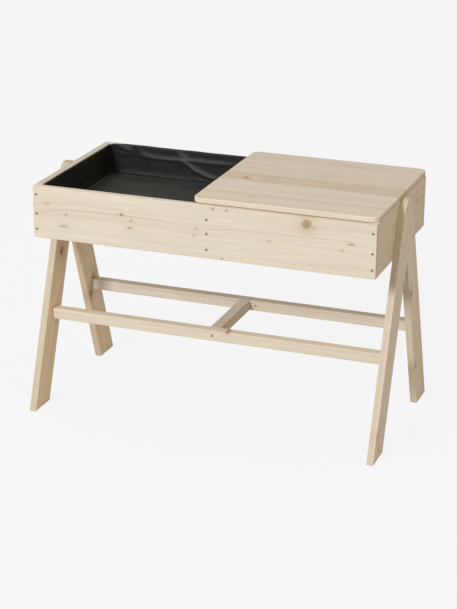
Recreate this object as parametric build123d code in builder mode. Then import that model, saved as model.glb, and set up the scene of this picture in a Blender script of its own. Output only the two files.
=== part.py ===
from build123d import *
import math
import os

os.makedirs("parts", exist_ok=True)

# Children's sand and water table: a shallow two-compartment spruce box carried by two
# A-shaped leg frames, with two long rails and one cross rail lower down, a black sheet
# liner in each compartment and a loose wooden lid over the right one.
# Millimetres. X runs left to right, Y front to back, Z up. The origin is on the floor
# under the middle of the box.

# box
box_length = 900
box_depth = 456
wall_height = 136.5
long_wall_drop = 1
board = 18
box_bottom = 475
rim = box_bottom + wall_height
edge_radius = 1.5
inner_half_depth = box_depth / 2 - board
inner_half_length = box_length / 2 - board
divider_x = 19

# compartment floors
floor_top = box_bottom + 53
floor_thickness = 9
floor_play = 1
cleat_height = 20
cleat_play = 3
cleat_edge_radius = 1
cleat_top = floor_top - floor_thickness

# liners
liner_thickness = 0.8
liner_play = 0.3
liner_corner = 4
liner_top = rim - 1.5
hem_height = 7
hem_end_gap = 5
hem_lid_gap = 4

# lid
lid_left = -24
lid_right = 449.5
lid_front = -214
lid_back = 238
lid_thickness = 13.5
lid_corner = 20
lid_edge_radius = 3
lid_under_radius = 2
batten_width = 40
batten_thickness = 18
batten_length = 370
batten_inset = 62
batten_edge_radius = 2

# leg frames
leg_width = 80
leg_thickness = 18
lean = math.radians(20)
foot_spread = 252
top_radius = 40

# rails
rail = 28
rail_z = 236
rail_edge_radius = 2

# screws
screw_radius = 2
screw_head_radius = 3.8
head_recess = 0.1
sink_radius = 4
screw_play = 0.05
hole_radius = screw_radius + screw_play
hole_spare = 0.5
tip_length = 4
tip_radius = 0.3
drive_width = 0.9
drive_span = 4.2
drive_depth = 1.5
wall_screw = 50
leg_screw = 30
rail_screw = 60
cleat_screw = 28
floor_screw = 22
batten_screw = 28

# derived leg shape: the half width of the frame at a height is foot_spread - z * tan(lean)
foot_width = leg_width / math.cos(lean)
crotch_z = (foot_spread - foot_width) / math.tan(lean)
round_z = (foot_spread - top_radius / math.cos(lean)) / math.tan(lean)
apex_z = round_z + top_radius
rail_y = foot_spread - rail_z * math.tan(lean) - foot_width / 2
frame_face = box_length / 2 + leg_thickness

# screw positions
corner_heights = [box_bottom + 22.5, box_bottom + 63.5, box_bottom + 113.5]
divider_heights = [box_bottom + 22.5, box_bottom + 63.5, box_bottom + 100]
corner_x = box_length / 2 - board / 2
leg_screw_points = [(51, box_bottom + 28.5), (20.5, box_bottom + 116.5)]
compartments = {
    "left": (-inner_half_length, divider_x - board / 2),
    "right": (divider_x + board / 2, inner_half_length),
}
facing = {"front": (90, 0, 0), "back": (-90, 0, 0), "left": (0, -90, 0), "right": (0, 90, 0)}
screw_end = 45
floor_screw_shift = 35
floor_screw_last = 23
batten_screw_end = 40


def wall_places(side, y):
    """Screw heads on one long wall: three at each end and three at the divider."""
    places = []
    for x, heights in ((-corner_x, corner_heights), (divider_x, divider_heights), (corner_x, corner_heights)):
        for z in heights:
            places.append(Location((x, y, z), facing[side]))
    return places


def leg_places(side, x, y_sign):
    """Screw heads that hold one leg to its end wall."""
    places = []
    for y, z in leg_screw_points:
        places.append(Location((x, y_sign * y, z), facing[side]))
    return places


def cleat_places(name, y_sign, y):
    """Three screws along a cleat, driven outwards into the long wall."""
    low, high = compartments[name]
    side = "back" if y_sign < 0 else "front"
    places = []
    for x in (low + screw_end, (low + high) / 2, high - screw_end):
        places.append(Location((x, y, cleat_top - cleat_height / 2), facing[side]))
    return places


def floor_places(name, z):
    """Three screws along each long edge of a floor panel, driven down into the cleats."""
    low, high = compartments[name]
    places = []
    for x in (low + screw_end + floor_screw_shift, (low + high) / 2 + floor_screw_shift, high - floor_screw_last):
        for y in (-inner_half_depth + board / 2, inner_half_depth - board / 2):
            places.append(Location((x, y, z)))
    return places


def batten_places(x, z):
    """Three screws up through a lid batten."""
    middle = (lid_front + lid_back) / 2
    places = []
    reach = batten_length / 2 - batten_screw_end
    for y in (middle - reach, middle, middle + reach):
        places.append(Location((x, y, z), (180, 0, 0)))
    return places


def make_screw(length):
    """Countersunk wood screw with a cross recess, head up, its top just under z = 0."""
    with BuildPart() as screw:
        with BuildSketch(Plane.XZ):
            with BuildLine():
                Polyline(
                    (0, -head_recess),
                    (screw_head_radius, -head_recess),
                    (screw_radius, -head_recess - screw_head_radius + screw_radius),
                    (screw_radius, -length + tip_length),
                    (tip_radius, -length),
                    (0, -length),
                    close=True,
                )
            make_face()
        revolve(axis=Axis.Z)
        with BuildSketch(Plane.XY.offset(-head_recess)):
            Rectangle(drive_span, drive_width)
            Rectangle(drive_width, drive_span)
        extrude(amount=-drive_depth, mode=Mode.SUBTRACT)
    return screw.part


def sink_hole(depth):
    """Clearance hole with a countersink for one screw."""
    CounterSinkHole(radius=hole_radius, counter_sink_radius=sink_radius, depth=depth, counter_sink_angle=90)


def finish(builder, name):
    """Name a finished piece and write its file."""
    builder.part.label = name
    export_step(builder.part, "parts/" + name + ".step")


# Front and back walls run the full length and cover the ends of the end walls. They stop a
# little lower than the end walls, so the lid shows a thin shadow gap over them.
long_wall_height = wall_height - long_wall_drop
with BuildPart() as front_wall:
    with Locations((0, -box_depth / 2 + board / 2, box_bottom + long_wall_height / 2)):
        Box(box_length, board, long_wall_height)
    fillet(front_wall.edges(), radius=edge_radius)
    with Locations(*wall_places("front", -box_depth / 2)):
        sink_hole(board)
    with Locations(*cleat_places("left", -1, -inner_half_depth), *cleat_places("right", -1, -inner_half_depth)):
        Hole(radius=hole_radius, depth=cleat_screw - board + hole_spare)
finish(front_wall, "front_wall")

with BuildPart() as back_wall:
    with Locations((0, box_depth / 2 - board / 2, box_bottom + long_wall_height / 2)):
        Box(box_length, board, long_wall_height)
    fillet(back_wall.edges(), radius=edge_radius)
    with Locations(*wall_places("back", box_depth / 2)):
        sink_hole(board)
    with Locations(*cleat_places("left", 1, inner_half_depth), *cleat_places("right", 1, inner_half_depth)):
        Hole(radius=hole_radius, depth=cleat_screw - board + hole_spare)
finish(back_wall, "back_wall")


def end_screw_places(x, heights):
    """Pilot holes in the two ends of a cross wall, seen from its end grain."""
    places = []
    for z in heights:
        places.append(Location((x, -inner_half_depth, z), facing["front"]))
        places.append(Location((x, inner_half_depth, z), facing["back"]))
    return places


# End walls fit between the long walls. The leg screws bite into them from outside.
with BuildPart() as left_end_wall:
    with Locations((-box_length / 2 + board / 2, 0, box_bottom + wall_height / 2)):
        Box(board, 2 * inner_half_depth, wall_height)
    fillet(left_end_wall.edges(), radius=edge_radius)
    with Locations(*end_screw_places(-corner_x, corner_heights)):
        Hole(radius=hole_radius, depth=wall_screw - board + hole_spare)
    with Locations(*leg_places("left", -box_length / 2, -1), *leg_places("left", -box_length / 2, 1)):
        Hole(radius=hole_radius, depth=leg_screw - leg_thickness + hole_spare)
finish(left_end_wall, "left_end_wall")

with BuildPart() as right_end_wall:
    with Locations((box_length / 2 - board / 2, 0, box_bottom + wall_height / 2)):
        Box(board, 2 * inner_half_depth, wall_height)
    fillet(right_end_wall.edges(), radius=edge_radius)
    with Locations(*end_screw_places(corner_x, corner_heights)):
        Hole(radius=hole_radius, depth=wall_screw - board + hole_spare)
    with Locations(*leg_places("right", box_length / 2, -1), *leg_places("right", box_length / 2, 1)):
        Hole(radius=hole_radius, depth=leg_screw - leg_thickness + hole_spare)
finish(right_end_wall, "right_end_wall")

# The divider stands between the two compartments, a little right of the middle.
with BuildPart() as divider:
    with Locations((divider_x, 0, box_bottom + wall_height / 2)):
        Box(board, 2 * inner_half_depth, wall_height)
    fillet(divider.edges(), radius=edge_radius)
    with Locations(*end_screw_places(divider_x, divider_heights)):
        Hole(radius=hole_radius, depth=wall_screw - board + hole_spare)
finish(divider, "divider")


def make_cleat(name, y_sign):
    """Batten under the edge of a floor panel, screwed to a long wall."""
    low, high = compartments[name]
    y = y_sign * (inner_half_depth - board / 2)
    with BuildPart() as cleat:
        with Locations(((low + high) / 2, y, cleat_top - cleat_height / 2)):
            Box(high - low - 2 * cleat_play, board, cleat_height)
        fillet(cleat.edges(), radius=cleat_edge_radius)
        with Locations(*cleat_places(name, y_sign, y_sign * (inner_half_depth - board))):
            sink_hole(board)
        with Locations(*floor_places(name, cleat_top)):
            Hole(radius=hole_radius, depth=floor_screw - floor_thickness + hole_spare)
    return cleat


for compartment in compartments:
    finish(make_cleat(compartment, -1), compartment + "_front_cleat")
    finish(make_cleat(compartment, 1), compartment + "_back_cleat")


def make_floor(name):
    """Plywood panel that carries the liner and its filling."""
    low, high = compartments[name]
    with BuildPart() as panel:
        with Locations(((low + high) / 2, 0, floor_top - floor_thickness / 2)):
            Box(high - low - 2 * floor_play, 2 * (inner_half_depth - floor_play), floor_thickness)
        with Locations(*floor_places(name, floor_top)):
            sink_hole(floor_thickness)
    return panel


def make_liner(name, hem_low, hem_high):
    """Open tray of thin black sheet that lines one compartment. A hem stands up at the back."""
    low, high = compartments[name]
    length = high - low - 2 * liner_play
    depth = 2 * (inner_half_depth - liner_play)
    middle = (low + high) / 2
    with BuildPart() as tray:
        with BuildSketch(Plane.XY.offset(floor_top)):
            with Locations((middle, 0)):
                RectangleRounded(length, depth, liner_corner)
        extrude(amount=liner_top - floor_top)
        with BuildSketch(Plane.XY.offset(floor_top + liner_thickness)):
            with Locations((middle, 0)):
                RectangleRounded(
                    length - 2 * liner_thickness, depth - 2 * liner_thickness, liner_corner - liner_thickness
                )
        extrude(amount=wall_height, mode=Mode.SUBTRACT)
        if hem_high > hem_low:
            with Locations(((hem_low + hem_high) / 2, depth / 2 - liner_thickness / 2, liner_top + hem_height / 2)):
                Box(hem_high - hem_low, liner_thickness, hem_height)
    return tray


for compartment in compartments:
    finish(make_floor(compartment), compartment + "_floor_panel")

finish(make_liner("left", compartments["left"][0] + hem_end_gap, lid_left - hem_lid_gap), "left_liner")
finish(make_liner("right", 0, 0), "right_liner")

# Lid: an edge-glued panel with rounded corners and edges, kept flat by two battens below.
lid_middle_x = (lid_left + lid_right) / 2
lid_middle_y = (lid_front + lid_back) / 2
batten_x = [compartments["right"][0] + batten_inset, compartments["right"][1] - batten_inset]
with BuildPart() as lid_panel:
    with BuildSketch(Plane.XY.offset(rim)):
        with Locations((lid_middle_x, lid_middle_y)):
            RectangleRounded(lid_right - lid_left, lid_back - lid_front, lid_corner)
    extrude(amount=lid_thickness)
    fillet(lid_panel.edges().group_by(Axis.Z)[-1], radius=lid_edge_radius)
    fillet(lid_panel.edges().group_by(Axis.Z)[0], radius=lid_under_radius)
    with Locations(*batten_places(batten_x[0], rim), *batten_places(batten_x[1], rim)):
        Hole(radius=hole_radius, depth=batten_screw - batten_thickness + hole_spare)
finish(lid_panel, "lid_panel")


def make_batten(x):
    """Cross batten under the lid. It also keeps the lid from sliding off the box."""
    with BuildPart() as batten:
        with Locations((x, lid_middle_y, rim - batten_thickness / 2)):
            Box(batten_width, batten_length, batten_thickness)
        fillet(batten.edges().group_by(Axis.Z)[0], radius=batten_edge_radius)
        with Locations(*batten_places(x, rim - batten_thickness)):
            sink_hole(batten_thickness)
    return batten


finish(make_batten(batten_x[0]), "lid_left_batten")
finish(make_batten(batten_x[1]), "lid_right_batten")


def make_leg(end, y_sign):
    """One leaning board of a leg frame. The pair meets in an upright mitre with a round top."""
    start = -frame_face if end == "left" else box_length / 2
    outer_face = -frame_face if end == "left" else frame_face
    turn = (math.pi / 2 - lean) / 2
    touch = (y_sign * top_radius * math.cos(lean), round_z + top_radius * math.sin(lean))
    crown = (y_sign * top_radius * math.sin(turn), round_z + top_radius * math.cos(turn))
    with BuildPart() as leg:
        with BuildSketch(Plane.YZ.offset(start)):
            with BuildLine():
                Polyline(
                    touch,
                    (y_sign * foot_spread, 0),
                    (y_sign * (foot_spread - foot_width), 0),
                    (0, crotch_z),
                    (0, apex_z),
                )
                ThreePointArc((0, apex_z), crown, touch)
            make_face()
        extrude(amount=leg_thickness)
        fillet(leg.edges().filter_by(Axis.X, reverse=True), radius=edge_radius)
        with Locations(*leg_places(end, outer_face, y_sign)):
            sink_hole(leg_thickness)
        with Locations(Location((outer_face, y_sign * rail_y, rail_z), facing[end])):
            sink_hole(leg_thickness)
    return leg


for end in ("left", "right"):
    finish(make_leg(end, -1), end + "_front_leg")
    finish(make_leg(end, 1), end + "_rear_leg")


def make_long_rail(y_sign):
    """Square bar between the two leg frames."""
    outward = "front" if y_sign < 0 else "back"
    with BuildPart() as bar:
        with Locations((0, y_sign * rail_y, rail_z)):
            Box(box_length, rail, rail)
        fillet(bar.edges().filter_by(Axis.X), radius=rail_edge_radius)
        with Locations(
            Location((-box_length / 2, y_sign * rail_y, rail_z), facing["left"]),
            Location((box_length / 2, y_sign * rail_y, rail_z), facing["right"]),
        ):
            Hole(radius=hole_radius, depth=rail_screw - leg_thickness + hole_spare)
        with Locations(Location((0, y_sign * (rail_y + rail / 2), rail_z), facing[outward])):
            sink_hole(rail)
    return bar


finish(make_long_rail(-1), "front_rail")
finish(make_long_rail(1), "rear_rail")

# The cross rail joins the two long rails at mid length.
cross_half = rail_y - rail / 2
with BuildPart() as cross_rail:
    with Locations((0, 0, rail_z)):
        Box(rail, 2 * cross_half, rail)
    fillet(cross_rail.edges().filter_by(Axis.Y), radius=rail_edge_radius)
    with Locations(
        Location((0, -cross_half, rail_z), facing["front"]),
        Location((0, cross_half, rail_z), facing["back"]),
    ):
        Hole(radius=hole_radius, depth=rail_screw - rail + hole_spare)
finish(cross_rail, "cross_rail")

# Screws, one node for each group that does the same job.
with BuildPart() as front_wall_screws:
    with Locations(*wall_places("front", -box_depth / 2)):
        add(make_screw(wall_screw))
finish(front_wall_screws, "front_wall_screws")

with BuildPart() as back_wall_screws:
    with Locations(*wall_places("back", box_depth / 2)):
        add(make_screw(wall_screw))
finish(back_wall_screws, "back_wall_screws")

for end, x in (("left", -frame_face), ("right", frame_face)):
    with BuildPart() as leg_screws:
        with Locations(*leg_places(end, x, -1), *leg_places(end, x, 1)):
            add(make_screw(leg_screw))
    finish(leg_screws, end + "_leg_screws")

rail_end_places = []
for end, x in (("left", -frame_face), ("right", frame_face)):
    for y in (-rail_y, rail_y):
        rail_end_places.append(Location((x, y, rail_z), facing[end]))
with BuildPart() as rail_end_screws:
    with Locations(*rail_end_places):
        add(make_screw(rail_screw))
finish(rail_end_screws, "rail_end_screws")

with BuildPart() as cross_rail_screws:
    with Locations(
        Location((0, -rail_y - rail / 2, rail_z), facing["front"]),
        Location((0, rail_y + rail / 2, rail_z), facing["back"]),
    ):
        add(make_screw(rail_screw))
finish(cross_rail_screws, "cross_rail_screws")

inner_cleat_face = inner_half_depth - board
all_cleat_places = []
all_floor_places = []
for compartment in compartments:
    all_cleat_places += cleat_places(compartment, -1, -inner_cleat_face)
    all_cleat_places += cleat_places(compartment, 1, inner_cleat_face)
    all_floor_places += floor_places(compartment, floor_top)
with BuildPart() as cleat_screws:
    with Locations(*all_cleat_places):
        add(make_screw(cleat_screw))
finish(cleat_screws, "cleat_screws")

with BuildPart() as floor_screws:
    with Locations(*all_floor_places):
        add(make_screw(floor_screw))
finish(floor_screws, "floor_screws")

with BuildPart() as lid_batten_screws:
    with Locations(
        *batten_places(batten_x[0], rim - batten_thickness),
        *batten_places(batten_x[1], rim - batten_thickness),
    ):
        add(make_screw(batten_screw))
finish(lid_batten_screws, "lid_batten_screws")
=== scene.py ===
import math

import bmesh
import bpy
from mathutils import Matrix, Vector, noise


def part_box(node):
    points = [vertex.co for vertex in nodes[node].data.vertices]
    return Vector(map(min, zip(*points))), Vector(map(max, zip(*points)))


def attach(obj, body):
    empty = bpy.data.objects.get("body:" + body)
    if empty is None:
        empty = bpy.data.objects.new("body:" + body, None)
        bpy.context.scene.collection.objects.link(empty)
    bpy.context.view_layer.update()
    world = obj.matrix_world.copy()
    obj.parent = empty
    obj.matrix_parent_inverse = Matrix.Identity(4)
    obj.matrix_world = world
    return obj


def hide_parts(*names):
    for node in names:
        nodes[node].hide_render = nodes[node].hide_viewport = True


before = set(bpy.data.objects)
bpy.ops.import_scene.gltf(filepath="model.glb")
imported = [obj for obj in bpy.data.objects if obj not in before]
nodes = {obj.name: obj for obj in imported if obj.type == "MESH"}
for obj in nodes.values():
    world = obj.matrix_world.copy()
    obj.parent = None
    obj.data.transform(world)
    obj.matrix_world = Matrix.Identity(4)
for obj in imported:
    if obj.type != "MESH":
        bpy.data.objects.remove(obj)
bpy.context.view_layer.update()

# ---------------------------------------------------------------------------------------
# End walls. Planed spruce boards with the grain along Y, held between the two long walls.
# Their finish is set out here: every other board of the table is cut from the same wood,
# with its own knots, its own run of growth rings and its own tone. Some boards take a
# lighter copy of the pale tone as painted light, and others a darker one as painted shade.
# ---------------------------------------------------------------------------------------


def put(tree, kind, plugs=None, **settings):
    """One shader node, with its settings, and its inputs plugged or set."""
    made = tree.nodes.new("ShaderNode" + kind)
    for name, value in settings.items():
        setattr(made, name, value)
    for key, value in (plugs or {}).items():
        if isinstance(value, bpy.types.NodeSocket):
            tree.links.new(value, made.inputs[key])
        else:
            made.inputs[key].default_value = value
    return made


def calc(tree, operation, first, second=0.0, third=0.0):
    """One Math node."""
    return put(tree, "Math", {0: first, 1: second, 2: third}, operation=operation).outputs[0]


def vectors(tree, operation, first, second):
    """One Vector Math node. A dot product gives a number, the others a vector."""
    made = put(tree, "VectorMath", {0: first, 1: second}, operation=operation)
    return made.outputs["Value" if operation == "DOT_PRODUCT" else "Vector"]


def square(tree, value):
    """A number times itself."""
    return calc(tree, "POWER", value, 2.0)


def soft_spot(tree, squared_distance, rate):
    """1 in the middle of a spot, and fading out with the squared distance from it."""
    return calc(tree, "EXPONENT", calc(tree, "MULTIPLY", squared_distance, -rate))


def ramp(tree, value, low, high, start=0.0, end=1.0):
    """A smooth step from start to end as the value goes from low to high."""
    plugs = {"Value": value, "From Min": low, "From Max": high, "To Min": start, "To Max": end}
    return put(tree, "MapRange", plugs, interpolation_type="SMOOTHSTEP").outputs["Result"]


def fibres(tree, place, stretch, offset, detail=2.0, roughness=0.5):
    """Noise drawn out along the grain: stretch is how often it changes per metre on each axis."""
    scaled = put(tree, "VectorMath", {0: place, 1: stretch, 2: offset}, operation="MULTIPLY_ADD").outputs[0]
    plugs = {"Vector": scaled, "Scale": 1.0, "Detail": detail, "Roughness": roughness}
    return put(tree, "TexNoise", plugs).outputs["Fac"]


def tint(tree, amount, first, second, how="MIX"):
    """Mixes two colours by a mask."""
    plugs = {0: amount, 6: first, 7: second}
    return put(tree, "Mix", plugs, data_type="RGBA", blend_type=how).outputs[2]


def new_group(name, sockets_in, sockets_out):
    """An empty shader node group with named sockets."""
    group = bpy.data.node_groups.new(name, "ShaderNodeTree")
    for label, kind, value in sockets_in:
        socket = group.interface.new_socket(label, in_out="INPUT", socket_type="NodeSocket" + kind)
        if value is not None:
            socket.default_value = value
    for label, kind in sockets_out:
        group.interface.new_socket(label, in_out="OUTPUT", socket_type="NodeSocket" + kind)
    return group, group.nodes.new("NodeGroupInput"), group.nodes.new("NodeGroupOutput")


# A knot pushes the grain apart round itself. It has a dark heart and a tan halo, and passes on
# what the knots before it did, so that a board can hold a row of them.
knot_group, knot_in, knot_out = new_group(
    "knot",
    [
        ("Board", "Vector", None),
        ("Place", "Vector", None),
        ("Radius", "Float", 0.003),
        ("Long", "Float", 1.0),
        ("Heart", "Float", 0.8),
        ("Halo", "Float", 0.4),
        ("Bend", "Float", 0.0),
        ("Dark Wood", "Float", 0.0),
        ("Tan Wood", "Float", 0.0),
    ],
    [("Bend", "Float"), ("Dark Wood", "Float"), ("Tan Wood", "Float")],
)
tree = knot_group
inside = knot_in.outputs
split = put(tree, "SeparateXYZ", {0: vectors(tree, "SUBTRACT", inside["Board"], inside["Place"])}).outputs
along = calc(tree, "DIVIDE", split[0], inside["Long"])
across = split[1]
# its rim is ragged, and fine year rings show in its heart
distance = calc(tree, "SQRT", calc(tree, "ADD", square(tree, along), square(tree, across)))
ragged = fibres(tree, inside["Board"], (260.0, 420.0, 60.0), (0.0, 0.0, 0.0), detail=1.0)
reach = calc(tree, "DIVIDE", distance, inside["Radius"])
reach = calc(tree, "ADD", reach, calc(tree, "MULTIPLY_ADD", ragged, 0.7, -0.35))
heart = calc(tree, "MULTIPLY", ramp(tree, reach, 1.15, 0.75), inside["Heart"])
rings = calc(tree, "SINE", calc(tree, "MULTIPLY", reach, 9.0))
heart = calc(tree, "MULTIPLY", heart, calc(tree, "MULTIPLY_ADD", rings, 0.12, 0.88))
glow = calc(tree, "MULTIPLY", soft_spot(tree, square(tree, reach), 0.22), inside["Halo"])
# the grain parts over a stretch that is longer than it is wide
wide = calc(tree, "DIVIDE", square(tree, split[0]), -26.0)
tall = calc(tree, "DIVIDE", square(tree, across), -6.0)
spread = calc(tree, "DIVIDE", calc(tree, "ADD", wide, tall), square(tree, inside["Radius"]))
push = calc(tree, "MULTIPLY", calc(tree, "MULTIPLY", across, -0.8), calc(tree, "EXPONENT", spread))
for label, made, before, how in (
    ("Bend", push, inside["Bend"], "ADD"),
    ("Dark Wood", heart, inside["Dark Wood"], "MAXIMUM"),
    ("Tan Wood", glow, inside["Tan Wood"], "MAXIMUM"),
):
    tree.links.new(calc(tree, how, made, before), knot_out.inputs[label])

# Spruce as it grows: rings round a pith that runs beside the board, drawn out and wavering along
# the grain, with fine fibres, broad warm and cool bands, and darker end grain.
spruce_group, spruce_in, spruce_out = new_group(
    "spruce",
    [
        ("Board", "Vector", None),
        ("Facing", "Float", 0.0),
        ("Seed", "Vector", None),
        ("Pith", "Vector", (0.0, 0.01, -0.045)),
        ("Ring Width", "Float", 0.0026),
        ("Ring Strength", "Float", 0.5),
        ("Bend", "Float", 0.0),
        ("Dark Wood", "Float", 0.0),
        ("Tan Wood", "Float", 0.0),
        ("Pale", "Color", (0.7, 0.6, 0.5, 1.0)),
        ("Late", "Color", (0.6, 0.48, 0.34, 1.0)),
        ("Blush", "Color", (0.68, 0.55, 0.46, 1.0)),
        ("Heartwood", "Color", (0.25, 0.115, 0.052, 1.0)),
        ("Resin", "Color", (0.55, 0.385, 0.235, 1.0)),
    ],
    [("Color", "Color"), ("Roughness", "Float"), ("Height", "Float")],
)
tree = spruce_group
inside = spruce_in.outputs
board, seed = inside["Board"], inside["Seed"]
split = put(tree, "SeparateXYZ", {0: board}).outputs
pith = put(tree, "SeparateXYZ", {0: inside["Pith"]}).outputs
# the board as the grain runs through it
waver = calc(tree, "MULTIPLY_ADD", fibres(tree, board, (2.4, 10.0, 10.0), seed), 0.012, -0.006)
across = calc(tree, "ADD", calc(tree, "ADD", split[1], inside["Bend"]), waver)
deep = calc(tree, "ADD", split[2], calc(tree, "MULTIPLY", waver, 0.7))
flowing = put(tree, "CombineXYZ", {0: split[0], 1: across, 2: deep}).outputs[0]
# each year's ring darkens slowly and ends sharply, and some years are leaner than others
beside_pith = calc(tree, "SUBTRACT", across, pith[1])
above_pith = calc(tree, "SUBTRACT", deep, pith[2])
radius = calc(tree, "SQRT", calc(tree, "ADD", square(tree, beside_pith), square(tree, above_pith)))
years = calc(tree, "DIVIDE", radius, inside["Ring Width"])
plugs = {"W": calc(tree, "MULTIPLY", years, 0.33), "Scale": 1.0, "Detail": 1.0}
lean_years = put(tree, "TexNoise", plugs, noise_dimensions="1D").outputs["Fac"]
part_year = calc(tree, "FRACT", years)
late = calc(tree, "MULTIPLY", ramp(tree, part_year, 0.3, 0.86), ramp(tree, part_year, 1.0, 0.9))
late = calc(tree, "MULTIPLY", late, ramp(tree, lean_years, 0.3, 0.7, 0.25, 1.0))
late = calc(tree, "MULTIPLY", late, inside["Ring Strength"])
fine = fibres(tree, flowing, (9.0, 900.0, 900.0), seed, roughness=0.6)
middle = fibres(tree, flowing, (1.6, 120.0, 120.0), seed, roughness=0.6)
broad = fibres(tree, flowing, (1.3, 24.0, 24.0), seed, detail=1.0)
end_grain = ramp(tree, inside["Facing"], 0.6, 0.95)
colour = tint(tree, ramp(tree, broad, 0.32, 0.68), inside["Pale"], inside["Blush"])
colour = tint(tree, late, colour, inside["Late"])
streak = ramp(tree, middle, 0.3, 0.7, 0.045, -0.045)
streak = calc(tree, "ADD", streak, ramp(tree, fine, 0.3, 0.7, 0.05, -0.05))
shade = calc(tree, "ADD", calc(tree, "ADD", streak, 1.0), calc(tree, "MULTIPLY", end_grain, -0.1))
grey = put(tree, "CombineColor", {0: shade, 1: shade, 2: shade}).outputs[0]
colour = tint(tree, 1.0, colour, grey, "MULTIPLY")
colour = tint(tree, inside["Tan Wood"], colour, inside["Resin"])
colour = tint(tree, inside["Dark Wood"], colour, inside["Heartwood"])
tree.links.new(colour, spruce_out.inputs["Color"])
rough = calc(tree, "MULTIPLY_ADD", fine, 0.16, 0.5)
rough = calc(tree, "SUBTRACT", rough, calc(tree, "MULTIPLY", inside["Dark Wood"], 0.15))
tree.links.new(rough, spruce_out.inputs["Roughness"])
height = calc(tree, "ADD", calc(tree, "MULTIPLY", late, 0.5), fine)
tree.links.new(height, spruce_out.inputs["Height"])

PALE = (0.735, 0.635, 0.515, 1.0)
LATE = (0.62, 0.48, 0.33, 1.0)
BLUSH = (0.715, 0.6, 0.475, 1.0)
glue = (0.3, 0.22, 0.13, 1.0)


def timber(name, centre, along, across, seed, knots=(), pale=PALE, late=LATE, blush=BLUSH,
           pith=(0.0, 0.01, -0.045), ring_width=0.0022, ring_strength=0.26,
           flow=None, staves=None, edge=None):
    """Spruce for one board. Its grain runs along one axis and its face spreads across another.

    A knot is (along, across, radius, stretch, heart, halo), in metres from the board's centre.
    flow bends the grain, staves part a glued panel, and edge tints all but the broad faces:
    above one it paints light on them, and below one it paints shade.
    """
    material = bpy.data.materials.new(name)
    material.use_nodes = True
    tree = material.node_tree
    shader = tree.nodes["Principled BSDF"]
    length, width = Vector(along).normalized(), Vector(across).normalized()
    thickness = length.cross(width)
    turned = Matrix((length, width, thickness)).transposed().to_euler()
    coords = put(tree, "TexCoord").outputs
    plugs = {"Vector": coords["Object"], "Location": centre, "Rotation": turned}
    board = put(tree, "Mapping", plugs, vector_type="TEXTURE").outputs[0]
    facing = calc(tree, "ABSOLUTE", vectors(tree, "DOT_PRODUCT", coords["Normal"], length))
    bend, dark, tan = 0.0, 0.0, 0.0
    if flow:
        bend, dark = flow(tree, board)
    for u, v, size, stretch, heart, halo in knots:
        plugs = {"Board": board, "Place": (u, v, 0.0), "Radius": size, "Long": stretch}
        plugs |= {"Heart": heart, "Halo": halo, "Bend": bend, "Dark Wood": dark, "Tan Wood": tan}
        knot = put(tree, "Group", plugs, node_tree=knot_group).outputs
        bend, dark, tan = knot["Bend"], knot["Dark Wood"], knot["Tan Wood"]
    own_seed = (seed * 1.37, seed * 2.91, seed * 0.73)
    if staves:
        own_seed, stave_tone, seams = staves(tree, board, own_seed)
    plugs = {"Board": board, "Facing": facing, "Seed": own_seed, "Pith": pith}
    plugs |= {"Ring Width": ring_width, "Ring Strength": ring_strength, "Bend": bend, "Dark Wood": dark}
    plugs |= {"Tan Wood": tan, "Pale": pale, "Late": late, "Blush": blush}
    wood = put(tree, "Group", plugs, node_tree=spruce_group).outputs
    colour = wood["Color"]
    if staves:
        colour = tint(tree, 1.0, colour, stave_tone, "MULTIPLY")
        colour = tint(tree, seams, colour, glue)
    # painted light where the edge tone is above one, painted shade where it is below: it multiplies all but
    # the two broad faces
    if edge:
        on_face = calc(tree, "ABSOLUTE", vectors(tree, "DOT_PRODUCT", coords["Normal"], thickness))
        colour = tint(tree, ramp(tree, on_face, 0.4, 0.8, 1.0, 0.0), colour, edge, "MULTIPLY")
    relief = put(tree, "Bump", {"Height": wood["Height"], "Strength": 0.25, "Distance": 0.0003})
    tree.links.new(colour, shader.inputs["Base Color"])
    tree.links.new(wood["Roughness"], shader.inputs["Roughness"])
    tree.links.new(relief.outputs[0], shader.inputs["Normal"])
    shader.inputs["Specular IOR Level"].default_value = 0.35
    return material


def finish_node(name, material):
    """Gives a CAD node its finish."""
    for slot in nodes[name].material_slots:
        slot.material = material


def middle_of(name):
    """The centre of a CAD node's box."""
    low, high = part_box(name)
    return tuple((a + b) / 2 for a, b in zip(low, high))


X, Y, Z = (1.0, 0.0, 0.0), (0.0, 1.0, 0.0), (0.0, 0.0, 1.0)
shaded_pale = (0.7, 0.6, 0.475, 1.0)
grey_pale, grey_blush = (0.63, 0.585, 0.52, 1.0), (0.62, 0.56, 0.48, 1.0)
finish_node(
    "left_end_wall",
    timber("spruce_left_end", middle_of("left_end_wall"), Y, Z, 3.1, pale=grey_pale, blush=grey_blush),
)
finish_node(
    "right_end_wall",
    timber(
        "spruce_right_end", middle_of("right_end_wall"), Y, Z, 5.7,
        knots=[(0.143, 0.026, 0.003, 2.2, 0.6, 0.5), (-0.16, -0.05, 0.002, 1.5, 0.4, 0.3)],
        pale=shaded_pale, pith=(0.0, -0.02, -0.05),
    ),
)

# ---------------------------------------------------------------------------------------
# Long walls. Planed spruce boards with the grain along X, which cover the ends of the end
# walls and are screwed to them. The front one has a run of small knots and one long
# wavering grain line.
# ---------------------------------------------------------------------------------------
half_wall = 0.45
curve_gain = 10.0
line_width = 0.0011
front_line = [
    (-0.45, -0.0105), (-0.32, 0.0155), (-0.135, 0.0155), (0.0, 0.0075),
    (0.09, 0.0135), (0.27, 0.0185), (0.45, 0.0185),
]


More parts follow.
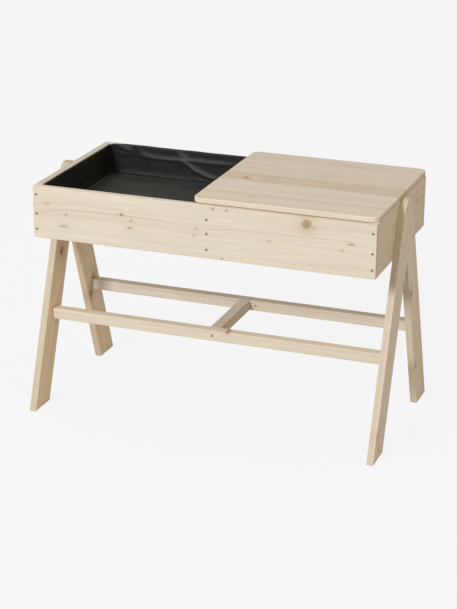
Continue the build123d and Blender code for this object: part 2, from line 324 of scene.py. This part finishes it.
def front_flow(tree, board):
    """Makes the grain follow one wavering line, and draws that line as a thin dark ring."""
    split = put(tree, "SeparateXYZ", {0: board}).outputs
    share = calc(tree, "MULTIPLY_ADD", split[0], 0.5 / half_wall, 0.5)
    curve = put(tree, "FloatCurve", {"Value": share})
    points = curve.mapping.curves[0].points
    while len(points) < len(front_line):
        points.new(0.5, 0.5)
    for point, (u, v) in zip(points, front_line):
        point.location = (0.5 + 0.5 * u / half_wall, 0.5 + v * curve_gain)
    curve.mapping.update()
    line = calc(tree, "MULTIPLY_ADD", curve.outputs[0], 1.0 / curve_gain, -0.5 / curve_gain)
    gap = calc(tree, "SUBTRACT", split[1], line)
    thin = soft_spot(tree, square(tree, gap), 1.0 / line_width**2)
    broken = fibres(tree, board, (7.0, 40.0, 40.0), (2.0, 5.0, 1.0))
    thin = calc(tree, "MULTIPLY", thin, ramp(tree, broken, 0.3, 0.6, 0.1, 0.3))
    return calc(tree, "MULTIPLY", line, -0.5), thin


front_knots = [
    (0.275, 0.0505, 0.0115, 1.0, 0.58, 0.6),
    (0.2923, 0.0427, 0.0022, 1.2, 0.5, 0.4),
    (0.035, 0.0615, 0.0028, 1.3, 0.6, 0.45),
    (0.071, 0.0615, 0.0026, 1.3, 0.6, 0.45),
    (0.0595, -0.0629, 0.0024, 1.2, 0.7, 0.3),
    (-0.2075, 0.019, 0.0028, 1.7, 0.85, 0.45),
    (-0.1817, 0.006, 0.0026, 1.6, 0.4, 0.35),
    (-0.1852, -0.0129, 0.0028, 1.8, 0.5, 0.5),
    (-0.3585, 0.0008, 0.0028, 1.2, 0.45, 0.45),
    (-0.366, -0.0296, 0.003, 2.4, 0.32, 0.5),
    (-0.4103, 0.0254, 0.0024, 1.6, 0.25, 0.4),
    (0.1815, -0.0032, 0.0022, 1.8, 0.35, 0.35),
    (0.3878, 0.0131, 0.0028, 2.4, 0.5, 0.4),
    (0.365, -0.0042, 0.0026, 1.4, 0.3, 0.3),
    (-0.008, 0.0065, 0.0024, 1.2, 0.4, 0.35),
    (-0.014, -0.0115, 0.0024, 1.2, 0.45, 0.35),
]
finish_node(
    "front_wall",
    timber(
        "spruce_front", middle_of("front_wall"), X, Z, 1.3,
        knots=front_knots, flow=front_flow, ring_strength=0.15, pith=(0.0, 0.03, -0.05),
    ),
)
finish_node(
    "back_wall",
    timber(
        "spruce_back", middle_of("back_wall"), X, Z, 8.9,
        knots=[
            (-0.27, 0.031, 0.006, 1.1, 0.5, 0.5),
            (0.12, -0.02, 0.0035, 1.6, 0.5, 0.4),
            (0.34, 0.04, 0.0026, 1.3, 0.6, 0.4),
        ],
    ),
)

# ---------------------------------------------------------------------------------------
# Divider. A spruce board between the two compartments, under the left edge of the lid.
# ---------------------------------------------------------------------------------------
finish_node("divider", timber("spruce_divider", middle_of("divider"), Y, Z, 12.2, pale=shaded_pale))

# ---------------------------------------------------------------------------------------
# Cleats and floor panels. Planed spruce battens, screwed to the long walls, carry the plywood
# floors, which are screwed down on them. The face veneer of the plywood runs along X.
# ---------------------------------------------------------------------------------------
cleats = ("left_front_cleat", "left_back_cleat", "right_front_cleat", "right_back_cleat")
for order, name in enumerate(cleats):
    seed = 15.0 + order * 1.9
    finish_node(name, timber("spruce_" + name, middle_of(name), X, Z, seed, ring_width=0.0034))
for order, name in enumerate(("left_floor_panel", "right_floor_panel")):
    ply = timber(
        "ply_" + name, middle_of(name), X, Y, 23.0 + order * 2.3,
        pale=(0.66, 0.54, 0.4, 1.0), late=(0.55, 0.42, 0.28, 1.0), blush=(0.63, 0.5, 0.36, 1.0),
        pith=(0.0, 0.02, -0.35), ring_width=0.006,
    )
    finish_node(name, ply)

# ---------------------------------------------------------------------------------------
# Liners. One black sheet in each compartment, folded up the walls and laid in. The left one
# has a hem that stands a little above the back wall. Soft folds run along both back walls.
# The sheet is painted paler where it faces up, a painted sheen, and along the folds, a
# painted highlight.
# ---------------------------------------------------------------------------------------
sheet_black = bpy.data.materials.new("black_sheet")
sheet_black.use_nodes = True
tree = sheet_black.node_tree
shader = tree.nodes["Principled BSDF"]
coords = put(tree, "TexCoord").outputs
cloudy = fibres(tree, coords["Object"], (11.0, 11.0, 11.0), (3.0, 1.0, 7.0), detail=3.0)
grit = fibres(tree, coords["Object"], (900.0, 900.0, 900.0), (0.0, 2.0, 5.0), detail=1.0)
crinkle = fibres(tree, coords["Object"], (60.0, 60.0, 60.0), (1.0, 4.0, 2.0))
black = tint(tree, ramp(tree, cloudy, 0.3, 0.7), (0.006, 0.0062, 0.0042, 1.0), (0.011, 0.0105, 0.008, 1.0))
# faces that look up, the floor most, get a painted sheen: a paler, patchy black
upward = put(tree, "SeparateXYZ", {0: coords["Normal"]}).outputs[2]
painted_sheen = tint(tree, ramp(tree, cloudy, 0.35, 0.65), (0.03, 0.031, 0.028, 1.0), (0.046, 0.047, 0.043, 1.0))
black = tint(tree, ramp(tree, upward, 0.6, 0.95), black, painted_sheen)
# the folds get a painted highlight along their crests, a paler grey set by the fold attribute
crease_highlight = put(tree, "Attribute", attribute_name="crease_highlight").outputs["Fac"]
crease_highlight_mask = calc(tree, "MULTIPLY", crease_highlight, ramp(tree, cloudy, 0.25, 0.6, 0.3, 1.0))
black = tint(tree, crease_highlight_mask, black, (0.1, 0.095, 0.085, 1.0))
tree.links.new(black, shader.inputs["Base Color"])
tree.links.new(calc(tree, "MULTIPLY_ADD", cloudy, 0.2, 0.5), shader.inputs["Roughness"])
skin = calc(tree, "MULTIPLY_ADD", grit, 0.12, crinkle)
skin_bump = put(tree, "Bump", {"Height": skin, "Strength": 0.35, "Distance": 0.0025})
tree.links.new(skin_bump.outputs[0], shader.inputs["Normal"])
shader.inputs["Specular IOR Level"].default_value = 0.35

sheet_thickness = 0.0008
cells = 0.004
rim_drop = 0.0005
same_place = 1e-6
# how far the sheet stands off the walls and the floor, and how much of that is ripple
wall_slack, wall_ripple, wall_fine_ripple = 0.0018, 0.0016, 0.0006
floor_slack, floor_ripple, floor_fine_ripple = sheet_thickness + 0.0006, 0.0006, 0.0003
# the bend at the foot of a wall: its height and its reach, on the wall and on the floor
wall_bend, wall_reach = 0.004, 0.01
floor_bend, floor_reach = 0.003, 0.011
bend_settle = 0.35
# the hem above the back wall, and how far in from each of its ends it is at full height
hem_height, hem_waver = 0.0052, 0.0016
hem_left_rise, hem_right_rise = 0.02, 0.006


def near_path(point, path):
    """Distance from a flat point to a path, and how far along the path, from 0 to 1, it is nearest."""
    best = (1e9, 0.0)
    for step, (start, end) in enumerate(zip(path, path[1:])):
        start, end = Vector(start), Vector(end)
        run = end - start
        share = min(1.0, max(0.0, (point - start).dot(run) / run.length_squared))
        gap = (point - start - run * share).length
        if gap < best[0]:
            best = (gap, (step + share) / (len(path) - 1))
    return best


def fold_height(point, folds):
    """How far the sheet stands off its wall at a flat point, and how strong the painted highlight on its
    folds is there.
    """
    total, highlight = 0.0, 0.0
    for path, width, high, highlight_strength in folds:
        gap, share = near_path(point, path)
        fade = min(1.0, 5.0 * share + 0.2, 5.0 * (1.0 - share) + 0.2)
        total += high * fade * math.exp(-((gap / width) ** 2))
        highlight = max(highlight, highlight_strength * fade * math.exp(-((gap / (0.8 * width)) ** 2)))
    return total, highlight


def line_compartment(name, hem, folds, seed):
    """A sheet folded into an open box, with its creases, tucked into one compartment."""
    (left, front, low), (right, back, _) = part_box(name)
    rim_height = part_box("front_wall")[1][2] - rim_drop
    sizes = (right - left, back - front, rim_height - low)
    counts = [max(4, round(size / cells)) for size in sizes]
    axes = (Vector(X), Vector(Y), Vector(Z))
    middle = Vector(((left + right) / 2, (front + back) / 2, low))
    half_up = low + sizes[2] / 2
    sides = (
        (0, 1, middle),
        (0, 2, Vector((middle.x, front, half_up))),
        (0, 2, Vector((middle.x, back, half_up))),
        (1, 2, Vector((left, middle.y, half_up))),
        (1, 2, Vector((right, middle.y, half_up))),
    )
    mesh = bmesh.new()
    for across, up, centre in sides:
        half_across, half_high = axes[across] * sizes[across] / 2, axes[up] * sizes[up] / 2
        turn = Matrix((half_across, half_high, axes[across].cross(axes[up]))).transposed().to_4x4()
        bmesh.ops.create_grid(
            mesh, x_segments=counts[across], y_segments=counts[up], size=1.0,
            matrix=Matrix.Translation(centre) @ turn,
        )
    bmesh.ops.remove_doubles(mesh, verts=mesh.verts, dist=cells / 8)
    bmesh.ops.recalc_face_normals(mesh, faces=mesh.faces)
    crease_highlight_layer = mesh.verts.layers.float.new("crease_highlight")
    for vert in mesh.verts:
        place = vert.co.copy()
        inward = Vector((0.0, 0.0, 0.0))
        height = place.z - low
        to_wall = min(place.x - left, right - place.x, place.y - front, back - place.y)
        ripple = noise.noise(Vector((place.x * 14 + seed, place.y * 14, place.z * 20)))
        fine_ripple = noise.noise(Vector((place.x * 45, place.y * 45 + seed, place.z * 60)))
        if height < same_place and to_wall > same_place:
            # the floor of the sheet is nearly flat, and rises a little towards its edges
            slack = floor_slack + floor_ripple * ripple + floor_fine_ripple * fine_ripple
            place.z += slack + floor_bend * math.exp(-((to_wall / floor_reach) ** 2))
        else:
            stand = max(sheet_thickness, wall_slack + wall_ripple * ripple + wall_fine_ripple * fine_ripple)
            settle = 1.0 if height > same_place else bend_settle
            off_wall = stand * settle + wall_bend * math.exp(-((height / wall_reach) ** 2))
            on_back = abs(place.y - back) < same_place
            if on_back:
                # each fold also sets the painted highlight along its crest
                fold, vert[crease_highlight_layer] = fold_height(Vector((place.x, place.z)), folds)
                inward.y -= off_wall + fold
            if abs(place.y - front) < same_place:
                inward.y += off_wall
            if abs(place.x - left) < same_place:
                inward.x += off_wall
            if abs(place.x - right) < same_place:
                inward.x -= off_wall
            if height < same_place:
                place.z += floor_bend
            if hem and on_back:
                # the hem wavers along its length, and comes down to the rim at its ends
                start, end = hem
                left_lift = max(0.0, (place.x - start) / hem_left_rise)
                right_lift = max(0.0, (end - place.x) / hem_right_rise)
                wave = hem_height + hem_waver * noise.noise(Vector((place.x * 18, seed, 0.0)))
                place.z += min(1.0, left_lift, right_lift) * wave * max(0.0, height / sizes[2]) ** 6
        vert.co = place + inward
    made = bpy.data.meshes.new(name + "_sheet")
    mesh.to_mesh(made)
    mesh.free()
    made.shade_smooth()
    piece = bpy.data.objects.new(name + "_sheet", made)
    bpy.context.scene.collection.objects.link(piece)
    made.materials.append(sheet_black)
    wall = piece.modifiers.new("sheet", "SOLIDIFY")
    wall.thickness = sheet_thickness
    wall.offset = 1.0
    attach(piece, "table")
    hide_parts(name)
    return piece, sizes


# a fold is the path of its crest as (x, z) points, then its width, height and the strength of its painted
# highlight
back_folds = [
    ([(-0.4015, 0.5873), (-0.36, 0.5868)], 0.0035, 0.002, 0.15),
    (
        [
            (-0.35, 0.5915), (-0.325, 0.5862), (-0.269, 0.5852),
            (-0.204, 0.5884), (-0.12, 0.588), (-0.05, 0.5885),
        ],
        0.0035, 0.0035, 0.8,
    ),
    ([(-0.43, 0.6145), (-0.4159, 0.6139), (-0.3836, 0.6004), (-0.36, 0.5965)], 0.005, 0.004, 0.5),
    ([(-0.345, 0.604), (-0.33, 0.5925), (-0.31, 0.588)], 0.003, 0.002, 0.4),
    ([(-0.232, 0.603), (-0.222, 0.598), (-0.2, 0.5945)], 0.004, 0.003, 0.5),
    (
        [(-0.232, 0.588), (-0.2038, 0.5801), (-0.1821, 0.5645), (-0.14, 0.549), (-0.11, 0.5455)],
        0.0045, 0.006, 0.8,
    ),
]
left_sheet, left_sizes = line_compartment("left_liner", (-0.43, -0.022), back_folds, 3.7)
right_folds = [
    ([(0.05, 0.588), (0.2, 0.586), (0.4, 0.589)], 0.0035, 0.003, 0.7),
    ([(0.3, 0.585), (0.36, 0.56), (0.42, 0.552)], 0.005, 0.005, 0.6),
]
right_sheet, right_sizes = line_compartment("right_liner", None, right_folds, 9.2)

# ---------------------------------------------------------------------------------------
# Leg frames. Four leaning spruce boards, screwed to the end walls. Each pair meets in an
# upright mitre and is rounded off at the top. The grain runs up each leg.
# ---------------------------------------------------------------------------------------
lean = math.radians(20.0)
leg_height = 0.3
foot_spread, half_foot = 0.252, 0.0425
leg_spread = foot_spread - leg_height * math.tan(lean) - half_foot
leg_knots = {
    "left_front_leg": [(0.0937, -0.0028, 0.0105, 1.1, 0.75, 0.55), (-0.12, 0.02, 0.002, 1.4, 0.3, 0.3)],
    "left_rear_leg": [(-0.0539, 0.006, 0.009, 1.0, 0.5, 0.5), (-0.087, -0.025, 0.009, 1.2, 0.6, 0.6)],
    "right_front_leg": [
        (0.1167, 0.0281, 0.005, 1.2, 0.55, 0.45), (-0.0053, -0.0343, 0.0026, 1.6, 0.6, 0.4),
        (-0.2616, -0.034, 0.0036, 1.8, 0.8, 0.45), (-0.297, -0.0031, 0.0034, 1.4, 0.8, 0.4),
    ],
    "right_rear_leg": [
        (0.0607, -0.0292, 0.009, 1.2, 0.6, 0.65), (-0.1811, -0.03, 0.006, 1.2, 0.45, 0.5),
        (0.2201, -0.0321, 0.0022, 6.0, 0.75, 0.3), (-0.01, 0.012, 0.002, 1.6, 0.5, 0.3),
    ],
}
# the left legs are warmer and brighter than the other wood: partly their own pinkish tone, partly painted
# warm bounce light on their shaded inner faces
warm_tone_and_bounce_pale = (0.97, 0.79, 0.58, 1.0)
# the right legs take a lighter copy of the pale tone: painted light on their outer faces
painted_lit_pale = (0.785, 0.68, 0.545, 1.0)
# each leg's second tone darkens its narrow faces: painted shade, deepest on the left front leg
leg_tones = {
    "right_front_leg": (painted_lit_pale, (0.84, 0.81, 0.8, 1.0)),
    "right_rear_leg": (painted_lit_pale, (0.92, 0.9, 0.88, 1.0)),
    "left_front_leg": (warm_tone_and_bounce_pale, (0.64, 0.67, 0.69, 1.0)),
    "left_rear_leg": (warm_tone_and_bounce_pale, (0.73, 0.7, 0.68, 1.0)),
}
for order, (name, knots) in enumerate(leg_knots.items()):
    side = -1.0 if "front" in name else 1.0
    centre = (middle_of(name)[0], side * leg_spread, leg_height)
    up_the_leg = (0.0, -side * math.sin(lean), math.cos(lean))
    over_the_leg = (0.0, math.cos(lean), side * math.sin(lean))
    tone, painted_edge_shade = leg_tones[name]
    blush = (tone[0] * 0.96, tone[1] * 0.93, tone[2] * 0.9, 1.0)
    finish_node(
        name,
        timber(
            "spruce_" + name, centre, up_the_leg, over_the_leg, 31.0 + order * 2.7,
            knots=knots, pale=tone, blush=blush, pith=(0.0, 0.012 * side, -0.04), edge=painted_edge_shade,
        ),
    )

# ---------------------------------------------------------------------------------------
# Rails. Square spruce bars: two long ones between the leg frames, screwed through the legs,
# and one across between them, screwed through the long ones.
# ---------------------------------------------------------------------------------------
# the front rail's edge tone paints light on its top, bottom and ends, so its top reads lighter
finish_node(
    "front_rail",
    timber(
        "spruce_front_rail", middle_of("front_rail"), X, Z, 47.0,
        knots=[(0.0413, 0.0138, 0.003, 1.6, 0.7, 0.4)], edge=(1.17, 1.17, 1.17, 1.0),
    ),
)
# the rear rail's edge tone paints shade on its top, bottom and ends: the shadow of the box above it
finish_node(
    "rear_rail",
    timber(
        "spruce_rear_rail", middle_of("rear_rail"), X, Z, 51.5,
        knots=[(0.03, 0.0, 0.0026, 1.4, 0.7, 0.4)], edge=(0.84, 0.83, 0.82, 1.0),
    ),
)
cross_rail_wood = timber("spruce_cross_rail", middle_of("cross_rail"), Y, Z, 55.1, pale=shaded_pale)
finish_node("cross_rail", cross_rail_wood)

# ---------------------------------------------------------------------------------------
# Lid. An edge-glued spruce panel with rounded corners and edges. Its staves run along X, and
# one of them is darker. It lies loose on the rim; two battens screwed under it keep it flat.
# ---------------------------------------------------------------------------------------
lid_middle = middle_of("lid_panel")
pale_patch = (0.0635 - lid_middle[0], -0.0005 - lid_middle[1], 0.0)
glue_line = 0.0006
stave_edges = [-0.133, -0.104, -0.034, 0.036, 0.118]
stave_tones = [
    (0.985, 0.985, 0.97, 1.0), (1.03, 1.03, 1.06, 1.0), (0.985, 0.995, 1.02, 1.0),
    (0.89, 0.855, 0.8, 1.0), (0.975, 0.965, 0.955, 1.0), (0.95, 0.945, 0.975, 1.0),
]


def lid_staves(tree, board, seed):
    """Gives each stave of the lid its own grain and tone, with a fine glue line between two."""
    across = put(tree, "SeparateXYZ", {0: board}).outputs[1]
    tone, count, seams = stave_tones[0], 0.0, 0.0
    for edge, next_tone in zip(stave_edges, stave_tones[1:]):
        seam = edge - lid_middle[1]
        tone = tint(tree, ramp(tree, across, seam - glue_line, seam + glue_line), tone, next_tone)
        count = calc(tree, "ADD", count, calc(tree, "GREATER_THAN", across, seam))
        gap = calc(tree, "DIVIDE", calc(tree, "SUBTRACT", across, seam), glue_line)
        seams = calc(tree, "MAXIMUM", seams, soft_spot(tree, square(tree, gap), 1.0))
    # a pale patch lies beside the dark knot
    beside = vectors(tree, "MULTIPLY", vectors(tree, "SUBTRACT", board, pale_patch), (80.0, 130.0, 0.0))
    beside = soft_spot(tree, vectors(tree, "DOT_PRODUCT", beside, beside), 1.0)
    tone = tint(tree, calc(tree, "MULTIPLY", beside, 0.8), tone, (1.12, 1.13, 1.02, 1.0))
    plugs = {0: calc(tree, "MULTIPLY", count, 3.7), 1: calc(tree, "MULTIPLY", count, 7.9), 2: count}
    own_seed = vectors(tree, "ADD", seed, put(tree, "CombineXYZ", plugs).outputs[0])
    return own_seed, tone, calc(tree, "MULTIPLY", seams, 0.16)


lid_knots = [
    (0.0433, -0.0085, 0.0048, 1.3, 0.95, 0.6),
    (0.2523, 0.1936, 0.003, 1.6, 0.35, 0.4),
    (0.1848, 0.0478, 0.003, 1.6, 0.3, 0.4),
    (0.1114, -0.1583, 0.003, 1.6, 0.35, 0.4),
]
lid_knots = [(u - lid_middle[0], v - lid_middle[1], *rest) for u, v, *rest in lid_knots]
finish_node(
    "lid_panel",
    timber(
        "spruce_lid", lid_middle, X, Y, 61.0,
        knots=lid_knots, pith=(0.0, 0.02, -0.16), ring_width=0.0024, staves=lid_staves,
    ),
)
for order, name in enumerate(("lid_left_batten", "lid_right_batten")):
    finish_node(name, timber("spruce_" + name, middle_of(name), Y, X, 67.0 + order * 3.3))

# ---------------------------------------------------------------------------------------
# Screws. Zinc-plated countersunk heads with a cross recess, set just under the wood.
# ---------------------------------------------------------------------------------------
zinc = bpy.data.materials.new("zinc_screw")
zinc.use_nodes = True
tree = zinc.node_tree
shader = tree.nodes["Principled BSDF"]
coords = put(tree, "TexCoord").outputs["Object"]
dull = fibres(tree, coords, (420.0, 420.0, 420.0), (0.0, 0.0, 0.0))
metal = tint(tree, dull, (0.52, 0.47, 0.4, 1.0), (0.3, 0.265, 0.215, 1.0))
tree.links.new(metal, shader.inputs["Base Color"])
tree.links.new(calc(tree, "MULTIPLY_ADD", dull, 0.25, 0.3), shader.inputs["Roughness"])
shader.inputs["Metallic"].default_value = 0.45
screw_bump = put(tree, "Bump", {"Height": dull, "Strength": 0.2, "Distance": 0.0002})
tree.links.new(screw_bump.outputs[0], shader.inputs["Normal"])
for name in nodes:
    if name.endswith("_screws"):
        finish_node(name, zinc)

# ---------------------------------------------------------------------------------------
# Studio. A pale floor and backdrop, a wide cool key from the front and a little to the left,
# a weak warm fill from the right, an even warm surround, and the camera to the right of the
# front and above the lid.
# ---------------------------------------------------------------------------------------
floor_half = 40.0
floor_mesh = bmesh.new()
bmesh.ops.create_grid(floor_mesh, x_segments=1, y_segments=1, size=floor_half)
floor_data = bpy.data.meshes.new("studio_floor")
floor_mesh.to_mesh(floor_data)
floor_mesh.free()
studio_floor = bpy.data.objects.new("studio_floor", floor_data)
bpy.context.scene.collection.objects.link(studio_floor)
paper = bpy.data.materials.new("studio_paper")
paper.use_nodes = True
tree = paper.node_tree
tree.nodes.clear()
seen = put(tree, "LightPath").outputs["Is Camera Ray"]
matte = put(tree, "BsdfDiffuse", {"Color": (0.5, 0.49, 0.47, 1.0)})
faint = put(tree, "BsdfDiffuse", {"Color": (0.07, 0.07, 0.07, 1.0)})
glow = put(tree, "Emission", {"Color": (0.86, 0.86, 0.865, 1.0), "Strength": 1.0})
bright = put(tree, "AddShader", {0: faint.outputs[0], 1: glow.outputs[0]})
chosen = put(tree, "MixShader", {0: seen, 1: matte.outputs[0], 2: bright.outputs[0]})
surface = put(tree, "OutputMaterial")
tree.links.new(chosen.outputs[0], surface.inputs[0])
floor_data.materials.append(paper)

world = bpy.data.worlds.new("studio_surround")
bpy.context.scene.world = world
world.use_nodes = True
tree = world.node_tree
surround = tree.nodes["Background"]
surround.inputs["Color"].default_value = (1.0, 0.95, 0.86, 1.0)
surround.inputs["Strength"].default_value = 0.6
backdrop = put(tree, "Background", {"Color": (0.91, 0.91, 0.915, 1.0)})
seen = put(tree, "LightPath").outputs["Is Camera Ray"]
chosen = put(tree, "MixShader", {0: seen, 1: surround.outputs[0], 2: backdrop.outputs[0]})
tree.links.new(chosen.outputs[0], tree.nodes["World Output"].inputs[0])

aim = Vector((0.0, 0.0, 0.45))


def shine(name, watts, colour, wide, tall, toward, far):
    """A soft box that faces the table from one side."""
    data = bpy.data.lights.new(name, "AREA")
    data.energy = watts
    data.color = colour
    data.shape = "RECTANGLE"
    data.size = wide
    data.size_y = tall
    light = bpy.data.objects.new(name, data)
    bpy.context.scene.collection.objects.link(light)
    light.location = aim + toward * far
    light.rotation_euler = toward.to_track_quat("Z", "Y").to_euler()


turn, rise = math.radians(14.0), math.radians(28.5)
key_side = Vector((-math.sin(turn) * math.cos(rise), -math.cos(turn) * math.cos(rise), math.sin(rise)))
shine("key", 970.0, (0.87, 0.94, 1.0), 2.0, 2.6, key_side, 12.0)
shine("fill", 18.5, (1.0, 0.7, 0.42), 2.5, 2.5, Vector((0.95, -0.15, 0.22)).normalized(), 5.0)

camera_data = bpy.data.cameras.new("camera")
camera_data.sensor_fit = "VERTICAL"
camera_data.sensor_height = 36.0
camera_data.lens = 106.98
camera_data.clip_end = 100.0
camera = bpy.data.objects.new("camera", camera_data)
bpy.context.scene.collection.objects.link(camera)
camera_place = (1.5285, -4.16, 1.9131)
yaw, pitch, roll = math.radians(20.25), math.radians(20.3), math.radians(-0.4)
ahead = Vector((-math.sin(yaw) * math.cos(pitch), math.cos(yaw) * math.cos(pitch), -math.sin(pitch)))
level = ahead.cross(Vector(Z)).normalized()
downward = ahead.cross(level)
right_hand = level * math.cos(roll) + downward * math.sin(roll)
down_hand = downward * math.cos(roll) - level * math.sin(roll)
view = Matrix((right_hand, -down_hand, -ahead)).transposed().to_4x4()
camera.matrix_world = Matrix.Translation(camera_place) @ view
bpy.context.scene.camera = camera
bpy.context.scene.view_settings.view_transform = "Standard"
